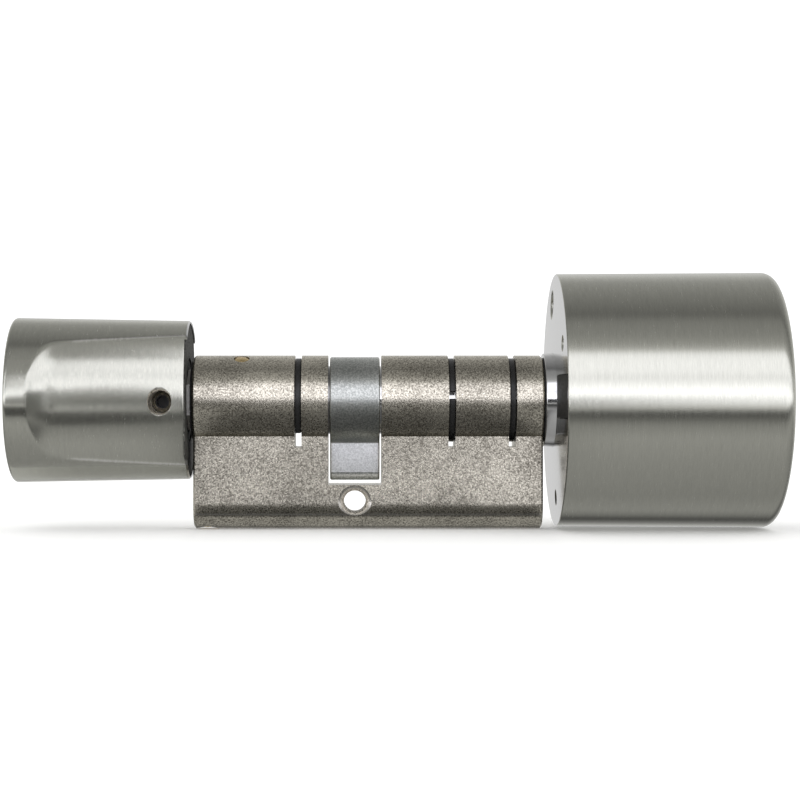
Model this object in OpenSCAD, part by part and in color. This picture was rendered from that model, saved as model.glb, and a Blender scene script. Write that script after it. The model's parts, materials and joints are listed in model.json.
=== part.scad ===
// Euro-profile cylinder with a thumb knob on one side and an electronic
// reader knob on the other, in millimetres. +X runs along the cylinder axis
// towards the reader knob, +Z is up and -Y is the front. The origin is the
// centre of the fixing-screw hole, straight below the cam.

/* [Profile body] */
// Cam centre to the end of the body on the thumb knob's side
body_left = 30.5; // [30.5:0.5:60.5]
// Cam centre to the end of the body on the reader knob's side
body_right = 35.5; // [35.5:0.5:65.5]
// Radius of the round upper part
barrel_r = 8.5; // [8.5:0.1:8.6]
// Width of the flange below it
flange_w = 10; // [9.8:0.1:10]
// Whole height of the profile
profile_h = 33; // [32.8:0.1:33]
// Depth of the fixing screw below the cylinder axis
screw_drop = 19.2; // [19:0.1:19.3]
// Wall radius of the M5 fixing-screw thread
screw_r = 2.1; // [2.0:0.05:2.25]
// Depth of the countersink at each mouth of the fixing-screw hole
screw_sink = 1.0; // [0.5:0.1:1.2]

/* [Cam] */
// Width of the cam along the axis
cam_w = 9.4; // [9.2:0.1:9.6]
// Radius of the cam's hub
cam_hub_r = 8.2; // [8:0.1:8.3]
// Reach of the cam's nose from the axis
cam_reach = 15.2; // [14.8:0.1:15.5]
// Thickness of the nose at its tip
cam_nose_t = 4; // [3.6:0.1:4.4]
// Clearance between the cam and each side of its cut-out
cam_gap = 0.35; // [0.3:0.05:0.5]

/* [Shafts and clips] */
// Bore of the body for both shafts
bore_r = 6.5; // [6.4:0.05:6.6]
// Radial running clearance of a shaft
running = 0.05; // [0.03:0.01:0.08]
// Width of the slots that the retaining clips sit in
slot_w = 1.3; // [1.2:0.1:1.5]
// Thickness of the retaining clips
clip_t = 1.05; // [0.9:0.05:1.1]
// Outside radius of the retaining clips
clip_r = 7.95; // [7.8:0.05:8.1]
// Distance of the thumb side clip from the cam centre
clip_left = 10.7; // [10:0.1:12]
// Distance of the inner reader side clip from the cam centre
clip_inner = 18.3; // [16:0.1:19]

/* [Thumb knob] */
// Length of the thumb knob
thumb_len = 33.5; // [33:0.1:36]
// Radius of the thumb knob at the end next to the body
thumb_r_near = 15.1; // [15:0.05:15.3]
// Radius of the thumb knob at its outer end
thumb_r_far = 15.67; // [15.5:0.05:15.9]
// Radius of the finger recess's floor, about its own offset axis
recess_r = 27; // [26.6:0.1:27.4]
// Distance of the grub screw from the knob's near end
grub_place = 4.9; // [4.6:0.1:5.2]

/* [Reader knob] */
// Length of the reader knob
reader_len = 41.1; // [40.6:0.1:44]
// Radius of the reader knob at the end next to the body
reader_r_near = 24.0; // [23.8:0.1:24.2]
// Radius of the reader knob at its outer end
reader_r_far = 24.25; // [24.2:0.05:24.5]
// Inside radius of the knob's shell
shell_bore_r = 21.6; // [21.4:0.1:21.7]
// Radius of the rounding at the shell's outer edge
shell_round = 2.2; // [1.6:0.1:2.2]
// Radius of the circle that the near face's holes lie on
face_hole_circle = 18.8; // [18.6:0.1:19]
// Rise of the coned near face, from its rim to the collar
face_rise = 0.5; // [0.2:0.1:0.6]
// Width of the black aerial insert in the near face
aerial_w = 8; // [7:0.5:9]
// Travel of the clutch pin
clutch_travel = 2; // [1.6:0.1:2]

/* [Hidden] */
$fn = 64;

eps = 0.01;
past = 1;                                  // how far a cutter runs past a face

// Body
flange_z = barrel_r - profile_h;           // lowest point of the flange
cutout_w = cam_w + 2 * cam_gap;
cutout_z = -cam_reach - 0.8;               // floor of the cam's cut-out
slot_z = -8.9;                             // floor of the clip slots
clip_outer = body_right - 5.8;             // distance of the outer reader side clip
bush_r = 7.2;
bush_len_left = 11.3;
bush_len_right = 4.4;
chamber_x = -body_left + 2.6;              // spring chamber, drilled from below
chamber_r = 2.1;
ball_r = 1.5;
ball_hole_r = 1.6;
detent_depth = 0.65;                       // groove in the shaft that the ball presses in
plug_low = flange_z + 0.4;
plug_high = plug_low + 3.6;
dowel_x = -body_left + 9.1;
dowel_r = 1.43;
dowel_angle = 67.5;                        // above the front, about the axis
drill_pin_r = 1.5;
drill_pin_z = [-12.3, -17.8];
drill_pin_len = 14;

// Shafts
shaft_r = bore_r - running;
groove_r = 5.6;                            // bottom of the clip grooves
clip_in_r = groove_r + 0.15;
clip_gap = 1.3;                            // gap of the two ring clips
clip_gap_left = 9.7;                       // mouth of the open clip
inner_clip_turn = 6.7;                     // degrees that the inner clip's gap sits above the front
driver_half = 2.2;
tongue_w = 3;
tongue_h = 9;
tongue_tip = -0.9;
shaft_face = driver_half + 0.3;            // inner face of each shaft
dog_w = 4;                                 // square dog of the clutch pin
shaft_hollow_r = 3.2;
motor_well_r = 5.5;

ball_z = -shaft_r + detent_depth - 0.05 - ball_r;

// Thumb knob
thumb_near = -body_left - 0.7;
thumb_far = thumb_near - thumb_len;
thumb_round = 0.7;
thumb_sink = 0.55;                         // depth of the hollow in its near face
thumb_hollow_r = 14.6;
shoulder_x = -body_left + 0.6;             // where the shaft steps down to its spigot
nut_flats = 10;
spigot_r = 4.4;
spigot_len = 18.5;
spigot_flat = -3.6;
recess_offset = 15.1;                      // height of the recess's turning axis behind the knob
recess_slope = 3.3;                        // degrees
recess_straight = 23.9;
recess_run_r = 8;                          // radius of the run-out at the outer end
recess_run_end = 62;                       // degrees that the run-out turns
recess_cutter_r = 36;
grub_x = thumb_near - grub_place;
grub_z = -0.35;
grub_r = 2.1;
grub_len = 3.4;
grub_socket = 1.8;                         // depth of its hexagonal socket
grub_socket_r = 1.45;
washer_r = [8, 14.4];
washer_t = 0.25;
shaft_seal_r = 7.4;

// Reader knob
reader_near = body_right + 2.7;
reader_far = reader_near + reader_len;
face_t = 3;                                // thickness of the shell's near face
cavity = reader_near + face_t;
collar_near = body_right + 0.3;
collar_r = 9;
hub_r = 7.8;
hub_end = cavity + 2;
seal_groove_r = [6.8, 8.0];                // groove in the collar's face for its seal
seal_groove_t = 0.9;
small_hole_r = 1.22;
big_hole_r = 2.45;
small_hole_angles = [33.5, 157, 280.5];
big_hole_angle = 101.5;
screw_core = 0.85;                         // clearance holes of the cover screws
screw_shank_r = 0.8;
screw_head_t = 1.2;
screw_seat = cavity - screw_head_t;
aerial_rise = 0.65;                        // height of the insert's middle above the axis
aerial_step = reader_near + 1.8;           // where the insert narrows to its foot
aerial_reach = 23.3;
aerial_foot_r = [11, 20];
chassis_near = cavity + 0.1;
chassis_r = 21.3;
pocket_near = cavity + 3.3;
battery_r = 7.75;
battery_len = 27;
battery_z = 13;
battery_near = pocket_near + 0.8;
battery_stud = [1, 3.2];                   // length and radius of a cell's raised pole
leaf_t = 0.3;
bridge_t = 0.5;
pcb_t = 1.2;
pcb_size = [23, 29];
pcb_y = -10.6;                             // front face of the control board
chip_t = 1;
chassis_far = battery_near + battery_len;
motor_near = pocket_near + 0.4;
motor_len = 17;
motor_r = 4;
board_near = chassis_far + 1;
coil_near = board_near + 1.4;
screw_end = chassis_near + 3;
coil_r = [17.5, 20];
cap_near = reader_far - 3.2;
cap_r = 21.45;
cap_seal_x = cap_near + 1.3;
light_ring_r = [9.2, 10.4];
light_ring_depth = 1.4;

// Clutch, at rest, and its lead screw
dog_near = shaft_face + 0.1;
dog_end = dog_near + 5;
pin_end = 18;
pin_collar_t = 1.5;
pin_rod_r = 1.5;
nut_near = 25.5;
nut_len = 5;
screw_near = nut_near - 1.5;
screw_pitch = 1;
screw_major_r = 1.0;
screw_core_r = 0.72;

steel = [0.66, 0.66, 0.63];
polished = [0.8, 0.8, 0.79];
nickel = [0.6, 0.57, 0.52];
sintered = [0.58, 0.59, 0.58];
black = [0.08, 0.08, 0.08];
gold = [0.75, 0.6, 0.32];
plastic = [0.14, 0.14, 0.15];
board = [0.1, 0.3, 0.16];
frosted = [0.85, 0.9, 0.95];

// ---- helpers -----------------------------------------------------------

module at_axis() {
    translate([0, 0, screw_drop]) children();
}

// Round bar about the X axis
module bar(x0, x1, r) {
    translate([x0, 0, 0]) rotate([0, 90, 0]) cylinder(h = x1 - x0, r = r);
}

module ring(x0, x1, r_in, r_out) {
    difference() {
        bar(x0, x1, r_out);
        bar(x0 - past, x1 + past, r_in);
    }
}

// Outline of [x, radius] points, turned about the X axis
module turned(points) {
    rotate([0, 90, 0]) rotate_extrude($fn = 128) polygon([for (p = points) [p[1], p[0]]]);
}

// O-ring about the X axis
module o_ring(x, r_mid, r_cord) {
    translate([x, 0, 0]) rotate([0, 90, 0])
        rotate_extrude($fn = 96) translate([r_mid, 0]) circle(r = r_cord, $fn = 24);
}

// Moves children to an angle about the X axis, from the front upwards
module at_angle(a) {
    rotate([-a, 0, 0]) children();
}

// Round bar that points from the axis to the front
module spoke(x, r0, r1, r) {
    translate([x, -r0, 0]) rotate([90, 0, 0]) cylinder(h = r1 - r0, r = r);
}

function arc(cx, cr, r, a0, a1, steps) =
    [for (i = [0:steps]) let (a = a0 + (a1 - a0) * i / steps) [cx + r * cos(a), cr + r * sin(a)]];

// Helical spring along +Z, from z0 to z1
module coil_spring(z0, z1, r_mid, r_wire, turns) {
    sides = 6;
    steps = 14 * turns;
    low = z0 + r_wire;
    rise = z1 - z0 - 2 * r_wire;
    rings = [
        for (i = [0:steps], j = [0:sides - 1])
            let (a = 360 * turns * i / steps, b = 360 * j / sides, r = r_mid + r_wire * cos(b))
                [r * cos(a), r * sin(a), low + rise * i / steps + r_wire * sin(b)]
    ];
    walls = [
        for (i = [0:steps - 1], j = [0:sides - 1])
            let (k = (j + 1) % sides, p = i * sides, q = p + sides)
                [p + j, p + k, q + k, q + j]
    ];
    first = [for (j = [sides - 1:-1:0]) j];
    last = [for (j = [0:sides - 1]) steps * sides + j];
    polyhedron(points = rings, faces = concat(walls, [first, last]), convexity = 8);
}

// ---- body --------------------------------------------------------------

module profile() {
    circle(r = barrel_r, $fn = 128);
    translate([-flange_w / 2, flange_z + flange_w / 2]) square([flange_w, -flange_z - flange_w / 2]);
    translate([0, flange_z + flange_w / 2]) circle(r = flange_w / 2, $fn = 96);
}

module clip_slot(x) {
    translate([x - slot_w / 2, -barrel_r - past, slot_z])
        cube([slot_w, 2 * (barrel_r + past), barrel_r - slot_z + past]);
}

module fixing_hole() {
    half = flange_w / 2;
    translate([0, 0, -screw_drop]) rotate([90, 0, 0]) {
        cylinder(h = flange_w + 2 * past, r = screw_r, center = true);
        for (side = [0, 1]) mirror([0, 0, side])
            translate([0, 0, half - screw_sink])
                cylinder(h = screw_sink + eps, r1 = screw_r, r2 = screw_r + screw_sink + eps);
    }
}

// The chamber's lower bore holds the plug, its upper bore the spring and ball
module chamber_bores() {
    translate([chamber_x, 0, flange_z - past]) cylinder(h = plug_high - flange_z + past, r = chamber_r);
    translate([chamber_x, 0, plug_high - eps]) cylinder(h = -plug_high, r = ball_hole_r);
}

module cylinder_body() {
    color(nickel) at_axis() difference() {
        translate([-body_left, 0, 0]) rotate([90, 0, 90])
            linear_extrude(height = body_left + body_right) profile();
        bar(-body_left - past, body_right + past, bore_r);
        bar(-body_left - past, -body_left + bush_len_left, bush_r);
        bar(body_right - bush_len_right, body_right + past, bush_r);
        translate([-cutout_w / 2, -barrel_r - past, cutout_z])
            cube([cutout_w, 2 * (barrel_r + past), barrel_r - cutout_z + past]);
        for (x = [-clip_left, clip_inner, clip_outer]) clip_slot(x);
        fixing_hole();
        chamber_bores();
        at_angle(dowel_angle) spoke(dowel_x, bore_r, barrel_r + past, dowel_r);
        for (z = drill_pin_z) translate([0, 0, z])
            bar(body_right - drill_pin_len - 0.4, body_right + past, drill_pin_r);
    }
}

// Open retaining ring. Its gap is centred on the front and turned by angle.
module retaining_clip(x, gap, angle) {
    at_angle(angle) difference() {
        ring(x - clip_t / 2, x + clip_t / 2, clip_in_r, clip_r);
        translate([x - slot_w, -barrel_r - past, -gap / 2]) cube([2 * slot_w, barrel_r + past, gap]);
    }
}

module left_retaining_clip() {
    color(black) at_axis() retaining_clip(-clip_left, clip_gap_left, -90);
}

module right_inner_clip() {
    color(black) at_axis() retaining_clip(clip_inner, clip_gap, inner_clip_turn);
}

module right_outer_clip() {
    color(black) at_axis() retaining_clip(clip_outer, clip_gap, 180);
}

module left_bush() {
    color(gold) at_axis() difference() {
        ring(-body_left, -body_left + bush_len_left, bore_r, bush_r);
        chamber_bores();
        at_angle(dowel_angle) spoke(dowel_x, 0, barrel_r, dowel_r);
    }
}

module right_bush() {
    color(gold) at_axis() ring(body_right - bush_len_right, body_right, bore_r, bush_r);
}

// Brass dowel that stops the bush from turning
module bush_dowel() {
    color(gold) at_axis() at_angle(dowel_angle) intersection() {
        spoke(dowel_x, bore_r + 0.1, barrel_r + past, dowel_r);
        bar(-body_left, 0, barrel_r);
    }
}

module friction_spring() {
    mid_r = 1.2;
    wire_r = 0.2;
    color(steel) at_axis() translate([chamber_x, 0, 0])
        coil_spring(plug_high, ball_z - ball_r, mid_r, wire_r, 9);
}

module friction_ball() {
    color(polished) at_axis() translate([chamber_x, 0, ball_z]) sphere(r = ball_r);
}

module chamber_plug() {
    color(gold) at_axis() difference() {
        translate([chamber_x, 0, plug_low]) cylinder(h = plug_high - plug_low, r = chamber_r);
        translate([chamber_x, 0, plug_low - eps]) cylinder(h = 1, r = 1.2, $fn = 6);
    }
}

module anti_drill_pins() {
    color(steel) at_axis() for (z = drill_pin_z) translate([0, 0, z])
        bar(body_right - drill_pin_len - 0.4, body_right - 0.4, drill_pin_r);
}

// ---- cam ---------------------------------------------------------------

module cam_outline() {
    tip = 1.5;
    half = cam_nose_t / 2;
    circle(r = cam_hub_r, $fn = 128);
    polygon([
        [-half, 0], [-half, -cam_reach + tip], [-half + 0.9, -cam_reach],
        [half - 0.9, -cam_reach], [half, -cam_reach + tip], [half, 0]
    ]);
}

module locking_cam() {
    color(sintered) at_axis() difference() {
        translate([-cam_w / 2, 0, 0]) rotate([90, 0, 90]) linear_extrude(height = cam_w) cam_outline();
        bar(-cam_w, cam_w, bore_r);
    }
}

// Disc inside the cam: a slot takes the thumb shaft's tongue, a square the clutch's dog
module cam_driver() {
    slot = tongue_w + 0.3;
    square_w = dog_w + 0.3;
    color(steel) at_axis() difference() {
        bar(-driver_half, driver_half, bore_r);
        translate([-driver_half - past, -slot / 2, -bore_r])
            cube([past + driver_half + tongue_tip + 0.2, slot, 2 * bore_r]);
        translate([driver_half - clutch_travel, -square_w / 2, -square_w / 2])
            cube([clutch_travel + past, square_w, square_w]);
    }
}

// ---- thumb knob --------------------------------------------------------

// Cuts one finger recess. The floor is turned about an axis behind the knob.
module finger_recess() {
    bend_x = thumb_near - recess_straight;
    bend_r = recess_r + recess_straight * tan(recess_slope);
    cx = bend_x + recess_run_r * sin(recess_slope);
    cr = bend_r + recess_run_r * cos(recess_slope);
    outline = concat(
        [[thumb_near + past, recess_r - past * tan(recess_slope)]],
        arc(cx, cr, recess_run_r, 270 - recess_slope, 270 - recess_run_end, 12),
        [[cx - recess_run_r * sin(recess_run_end), recess_cutter_r],
         [thumb_near + past, recess_cutter_r]]
    );
    intersection() {
        translate([0, recess_offset, 0]) turned(outline);
        translate([thumb_far - past, -2 * thumb_r_far, -thumb_r_far])
            cube([thumb_len + 3 * past, 2 * thumb_r_far, 2 * thumb_r_far]);
    }
}

module finger_recesses() {
    for (side = [0, 1]) mirror([0, side, 0]) finger_recess();
}

module grub_hole() {
    floor_y = recess_r - recess_offset + grub_place * tan(recess_slope);
    chamfer = 0.5;
    translate([0, 0, grub_z]) {
        spoke(grub_x, 0, recess_r, grub_r);
        translate([grub_x, -floor_y + chamfer, 0]) rotate([90, 0, 0])
            cylinder(h = chamfer + eps, r1 = grub_r, r2 = grub_r + chamfer);
    }
}

module thumb_knob() {
    slope = (thumb_r_far - thumb_r_near) / thumb_len;
    edge_r = thumb_r_far - slope * thumb_round;
    outline = concat(
        [[thumb_far, 0]],
        arc(thumb_far + thumb_round, edge_r - thumb_round, thumb_round, 180, 90, 6),
        [[thumb_near, thumb_r_near], [thumb_near, thumb_hollow_r + 0.2],
         [thumb_near - 0.15, thumb_hollow_r], [thumb_near - thumb_sink, thumb_hollow_r],
         [thumb_near - thumb_sink, spigot_r],
         [thumb_near - spigot_len, spigot_r], [thumb_near - spigot_len - 2, 0]]
    );
    color(steel) at_axis() difference() {
        turned(outline);
        finger_recesses();
        grub_hole();
    }
}

module thumb_shaft() {
    half = slot_w / 2 + 0.05;
    spigot_x = thumb_near - spigot_len + 0.5;
    outline = [
        [spigot_x, 0], [spigot_x, spigot_r - 0.5], [spigot_x + 0.5, spigot_r],
        [shoulder_x, spigot_r], [shoulder_x, shaft_r],
        [chamber_x - 1.6, shaft_r], [chamber_x - 0.8, shaft_r - detent_depth],
        [chamber_x + 0.8, shaft_r - detent_depth], [chamber_x + 1.6, shaft_r],
        [-clip_left - half, shaft_r], [-clip_left - half, groove_r],
        [-clip_left + half, groove_r], [-clip_left + half, shaft_r],
        [-shaft_face, shaft_r], [-shaft_face, 0]
    ];
    color(steel) at_axis() {
        difference() {
            turned(outline);
            translate([thumb_near - 12, -spigot_r - past, -spigot_r])
                cube([10, spigot_r + past + spigot_flat, 2 * spigot_r]);
        }
        translate([-shaft_face - eps, -tongue_w / 2, -tongue_h / 2])
            cube([shaft_face + tongue_tip + eps, tongue_w, tongue_h]);
    }
}

module knob_grub_screw() {
    color(plastic) at_axis() translate([grub_x, spigot_flat, grub_z]) rotate([90, 0, 0]) difference() {
        cylinder(h = grub_len, r = grub_r);
        translate([0, 0, grub_len - grub_socket])
            cylinder(h = grub_socket + eps, r = grub_socket_r, $fn = 6);
    }
}

// Thin hexagonal nut on the spigot, with one flat to the front
module shaft_nut() {
    x0 = thumb_near - thumb_sink;
    color(polished) at_axis() difference() {
        translate([x0, 0, 0]) rotate([0, 90, 0])
            cylinder(h = -body_left - 0.5 - x0, r = nut_flats / 2 / cos(30), $fn = 6);
        bar(x0 - past, 0, spigot_r);
    }
}

module shaft_seal() {
    color(black) at_axis() ring(-body_left - 0.48, -body_left - 0.1, spigot_r, shaft_seal_r);
}

// Plate in the hollow of the near face, trimmed to the finger recesses
module knob_washer() {
    x0 = thumb_near - thumb_sink;
    color(black) at_axis() difference() {
        ring(x0, x0 + washer_t, washer_r[0], washer_r[1]);
        finger_recesses();
    }
}

// ---- reader knob -------------------------------------------------------

module face_holes(r, x0, x1) {
    for (a = small_hole_angles) at_angle(a) translate([0, -face_hole_circle, 0]) bar(x0, x1, r);
}

module tool_hole(x0, x1) {
    at_angle(big_hole_angle) translate([0, -face_hole_circle, 0]) bar(x0, x1, big_hole_r);
}

function face_x(r) = reader_near - face_rise * (reader_r_near - r) / (reader_r_near - collar_r);

// The insert lies flush in the coned face. proud lifts its top, for use as a cutter.
module aerial_block(proud) {
    foot_w = aerial_w - 2;
    translate([0, 0, aerial_rise - aerial_w / 2]) linear_extrude(height = aerial_w) polygon([
        [face_x(collar_r) - proud, -collar_r], [face_x(aerial_reach) - proud, -aerial_reach],
        [aerial_step, -aerial_reach], [aerial_step, -collar_r]
    ]);
    translate([aerial_step - eps, -aerial_foot_r[1], aerial_rise - foot_w / 2])
        cube([cavity - aerial_step + eps, aerial_foot_r[1] - aerial_foot_r[0], foot_w]);
}

module knob_shell() {
    slope = (reader_r_far - reader_r_near) / reader_len;
    edge_r = reader_r_far - slope * shell_round;
    chamfer = 0.3;
    outline = concat(
        [[reader_near, hub_r], [reader_near, collar_r], [face_x(collar_r), collar_r],
         [face_x(reader_r_near - chamfer), reader_r_near - chamfer],
         [reader_near + chamfer, reader_r_near]],
        arc(reader_far - shell_round, edge_r - shell_round, shell_round, 90, 0, 8),
        [[reader_far, shell_bore_r], [cavity, shell_bore_r], [cavity, hub_r]]
    );
    color(steel) at_axis() difference() {
        turned(outline);
        face_holes(small_hole_r, reader_near - past, screw_seat);
        face_holes(screw_core, reader_near, cavity + past);
        tool_hole(reader_near - past, cavity + past);
        aerial_block(past);
    }
}

module shaft_pin_holes() {
    for (side = [90, -90]) at_angle(side) spoke(cavity + 1, shaft_hollow_r + 0.3, hub_r - 0.2, 0.75);
}

module knob_collar() {
    outline = [
        [collar_near, shaft_r], [collar_near, seal_groove_r[0]],
        [collar_near + seal_groove_t, seal_groove_r[0]],
        [collar_near + seal_groove_t, seal_groove_r[1]],
        [collar_near, seal_groove_r[1]], [collar_near, collar_r - 0.2],
        [collar_near + 0.2, collar_r], [reader_near, collar_r], [reader_near, hub_r],
        [hub_end, hub_r], [hub_end, shaft_r]
    ];
    color(polished) at_axis() difference() {
        turned(outline);
        shaft_pin_holes();
    }
}

module collar_seal() {
    color(black) at_axis()
        ring(body_right + 0.1, collar_near + seal_groove_t, seal_groove_r[0], seal_groove_r[1]);
}

module shaft_pins() {
    color(steel) at_axis() shaft_pin_holes();
}

module reader_shaft() {
    half = slot_w / 2 + 0.05;
    square_w = dog_w + 0.2;
    outline = concat(
        [[shaft_face, 0], [shaft_face, shaft_r]],
        [for (x = [clip_inner, clip_outer], p = [[-half, shaft_r], [-half, groove_r],
              [half, groove_r], [half, shaft_r]]) [x + p[0], p[1]]],
        [[hub_end, shaft_r], [hub_end, motor_well_r], [motor_near - 0.4, motor_well_r],
         [motor_near - 0.4, shaft_hollow_r], [dog_end + 0.4, shaft_hollow_r], [dog_end + 0.4, 0]]
    );
    color(polished) at_axis() difference() {
        turned(outline);
        translate([0, -square_w / 2, -square_w / 2]) cube([dog_end + past, square_w, square_w]);
        shaft_pin_holes();
    }
}

module aerial_insert() {
    color(black) at_axis() aerial_block(0);
}

module battery_places() {
    for (side = [-1, 1]) translate([0, 0, side * battery_z]) children();
}

// Moulded carrier for the batteries, the motor and the control board
module chassis() {
    color(plastic) at_axis() difference() {
        bar(chassis_near, chassis_far, chassis_r);
        bar(chassis_near - past, hub_end + 0.1, hub_r + 0.1);
        bar(chassis_near - past, motor_near, motor_well_r);
        bar(motor_near - eps, motor_near + motor_len + 0.2, motor_r);
        battery_places() bar(pocket_near, chassis_far + past, battery_r + 0.15);
        translate([pocket_near + 1.5, pcb_y - 3.4, -pcb_size[1] / 2 - 0.5])
            cube([pcb_size[0] + 1, pcb_t + 3.4, pcb_size[1] + 1]);
        face_holes(screw_shank_r, chassis_near - past, screw_end + 0.1);
        tool_hole(chassis_near - past, screw_end + 0.1);
    }
}

module batteries() {
    color("silver") at_axis() battery_places() {
        bar(battery_near, battery_near + battery_len - battery_stud[0], battery_r);
        bar(battery_near + battery_len - battery_stud[0] - eps, battery_near + battery_len,
            battery_stud[1]);
    }
}

// Sprung leaves at the near ends and one bridge across the far ends
module battery_contacts() {
    color(gold) at_axis() {
        battery_places() {
            bar(pocket_near, pocket_near + leaf_t, 5);
            bar(pocket_near + leaf_t - eps, battery_near, 2.5);
        }
        translate([battery_near + battery_len, -4, -battery_z - 3])
            cube([bridge_t, 8, 2 * battery_z + 6]);
    }
}

module control_board() {
    low = pocket_near + 2;
    color(board) at_axis() {
        translate([low, pcb_y, -pcb_size[1] / 2]) cube([pcb_size[0], pcb_t, pcb_size[1]]);
        for (chip = [[3, -5, 9, 7], [14, -10, 6, 5], [14, 4, 7, 4]])
            translate([low + chip[0], pcb_y - chip_t, chip[1]])
                cube([chip[2], chip_t + eps, chip[3]]);
    }
}

module gear_motor() {
    color("silver") at_axis() difference() {
        union() {
            bar(motor_near, motor_near + 7, motor_r);
            bar(motor_near + 7 - eps, motor_near + motor_len, motor_r - 0.2);
        }
        bar(motor_near - past, motor_near + 2.5, screw_core_r + running);
    }
}

module reader_board() {
    color(board) at_axis() ring(board_near, board_near + pcb_t, 3, 20.8);
}

module antenna_coil() {
    color("peru") at_axis() ring(coil_near, coil_near + 1, coil_r[0], coil_r[1]);
}

// Domed plastic cap with a groove for the light ring and one for its seal
module reader_cap() {
    half = 0.7;
    floor_r = cap_r - 1.1;
    groove_x = reader_far - light_ring_depth;
    outline = [
        [cap_near, 0], [cap_near, cap_r], [cap_seal_x - half, cap_r], [cap_seal_x - half, floor_r],
        [cap_seal_x + half, floor_r], [cap_seal_x + half, cap_r], [reader_far - 0.9, cap_r],
        [reader_far - 0.5, cap_r - 0.4], [reader_far - 0.3, 16], [reader_far - 0.15, light_ring_r[1]],
        [groove_x, light_ring_r[1]], [groove_x, light_ring_r[0]],
        [reader_far - 0.12, light_ring_r[0]], [reader_far, 0]
    ];
    color(plastic) at_axis() turned(outline);
}

module light_ring() {
    color(frosted) at_axis()
        ring(reader_far - light_ring_depth, reader_far - 0.2, light_ring_r[0], light_ring_r[1]);
}

module cap_seal() {
    color(black) at_axis() o_ring(cap_seal_x, cap_r - 0.5, 0.58);
}

// Three screws that hold the chassis to the shell, heads sunk in the near face
module cover_screws() {
    head = screw_seat - screw_head_t;
    color(plastic) at_axis() for (a = small_hole_angles)
        at_angle(a) translate([0, -face_hole_circle, 0]) difference() {
            union() {
                bar(head, screw_seat, small_hole_r - 0.07);
                bar(screw_seat - eps, screw_end, screw_shank_r);
            }
            translate([head - eps, 0, 0]) rotate([0, 90, 0]) cylinder(h = 0.8, r = 0.65, $fn = 6);
        }
}

// ---- clutch ------------------------------------------------------------

module clutch_pin() {
    color(steel) at_axis() {
        translate([dog_near, -dog_w / 2, -dog_w / 2]) cube([dog_end - dog_near, dog_w, dog_w]);
        bar(dog_end - eps, pin_end, pin_rod_r);
        bar(pin_end - eps, pin_end + pin_collar_t, shaft_hollow_r - 0.1);
    }
}

module clutch_spring() {
    mid_r = 2.3;
    wire_r = 0.25;
    color(steel) at_axis() rotate([0, 90, 0])
        coil_spring(pin_end + pin_collar_t, nut_near, mid_r, wire_r, 5);
}

module clutch_nut() {
    color(gold) at_axis() difference() {
        bar(nut_near, nut_near + nut_len, shaft_hollow_r - 0.1);
        bar(nut_near - past, nut_near + nut_len + past, screw_major_r + running);
    }
}

module lead_screw() {
    thread_end = motor_near - 2;
    turns = floor((thread_end - screw_near) / screw_pitch);
    outline = concat(
        [[screw_near, 0]],
        [for (i = [0:turns - 1], p = [[0, screw_core_r], [0.35, screw_major_r], [0.65, screw_major_r]])
            [screw_near + (i + p[0]) * screw_pitch, p[1]]],
        [[screw_near + turns * screw_pitch, screw_core_r], [motor_near + 2.2, screw_core_r],
         [motor_near + 2.2, 0]]
    );
    color(polished) at_axis() turned(outline);
}

cylinder_body();
left_retaining_clip();
right_inner_clip();
right_outer_clip();
left_bush();
right_bush();
bush_dowel();
friction_spring();
friction_ball();
chamber_plug();
anti_drill_pins();
locking_cam();
cam_driver();
thumb_knob();
thumb_shaft();
knob_grub_screw();
shaft_nut();
shaft_seal();
knob_washer();
knob_shell();
knob_collar();
collar_seal();
shaft_pins();
reader_shaft();
aerial_insert();
chassis();
batteries();
battery_contacts();
control_board();
gear_motor();
reader_board();
antenna_coil();
reader_cap();
light_ring();
cap_seal();
cover_screws();
clutch_pin();
clutch_spring();
clutch_nut();
lead_screw();
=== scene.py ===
"""Looks of a double-knob euro cylinder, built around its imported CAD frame.

Shapes are worked out in millimetres about the cylinder axis (x along it, y to the back, z up)
and set down in the frame in metres. Angles about the axis start at the front and go upwards.
On either knob, near is the side of the body and far is the outer side.
"""
import json
import math

import bmesh
import bpy
from mathutils import Matrix, Vector


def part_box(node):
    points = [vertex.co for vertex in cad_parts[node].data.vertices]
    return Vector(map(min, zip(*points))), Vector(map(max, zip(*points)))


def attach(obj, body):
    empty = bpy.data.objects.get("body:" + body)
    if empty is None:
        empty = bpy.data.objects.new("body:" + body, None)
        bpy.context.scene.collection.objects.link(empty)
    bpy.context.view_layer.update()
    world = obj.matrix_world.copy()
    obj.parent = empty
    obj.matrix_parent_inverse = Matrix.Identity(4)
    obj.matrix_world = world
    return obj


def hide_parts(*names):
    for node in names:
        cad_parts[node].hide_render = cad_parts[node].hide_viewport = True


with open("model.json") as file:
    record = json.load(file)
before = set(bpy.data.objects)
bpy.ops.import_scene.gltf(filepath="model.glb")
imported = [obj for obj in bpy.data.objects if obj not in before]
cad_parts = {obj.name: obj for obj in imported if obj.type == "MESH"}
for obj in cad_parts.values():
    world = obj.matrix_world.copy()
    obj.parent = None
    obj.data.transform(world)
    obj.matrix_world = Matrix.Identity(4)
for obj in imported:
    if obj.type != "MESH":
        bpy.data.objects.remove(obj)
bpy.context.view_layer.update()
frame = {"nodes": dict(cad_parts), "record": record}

MM = 0.001
NODES = frame["nodes"]
CAP_LOW, CAP_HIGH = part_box("reader_cap")
AXIS_Z = (CAP_LOW.z + CAP_HIGH.z) / 2


def cad_box(node):
    """Lowest and highest corner of a CAD node, in mm from the cylinder axis."""
    low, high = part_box(node)
    lift = Vector((0, 0, AXIS_Z))
    return (low - lift) / MM, (high - lift) / MM


def middle_x(node):
    """Place of a CAD node's middle along the axis."""
    low, high = cad_box(node)
    return (low.x + high.x) / 2


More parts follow.
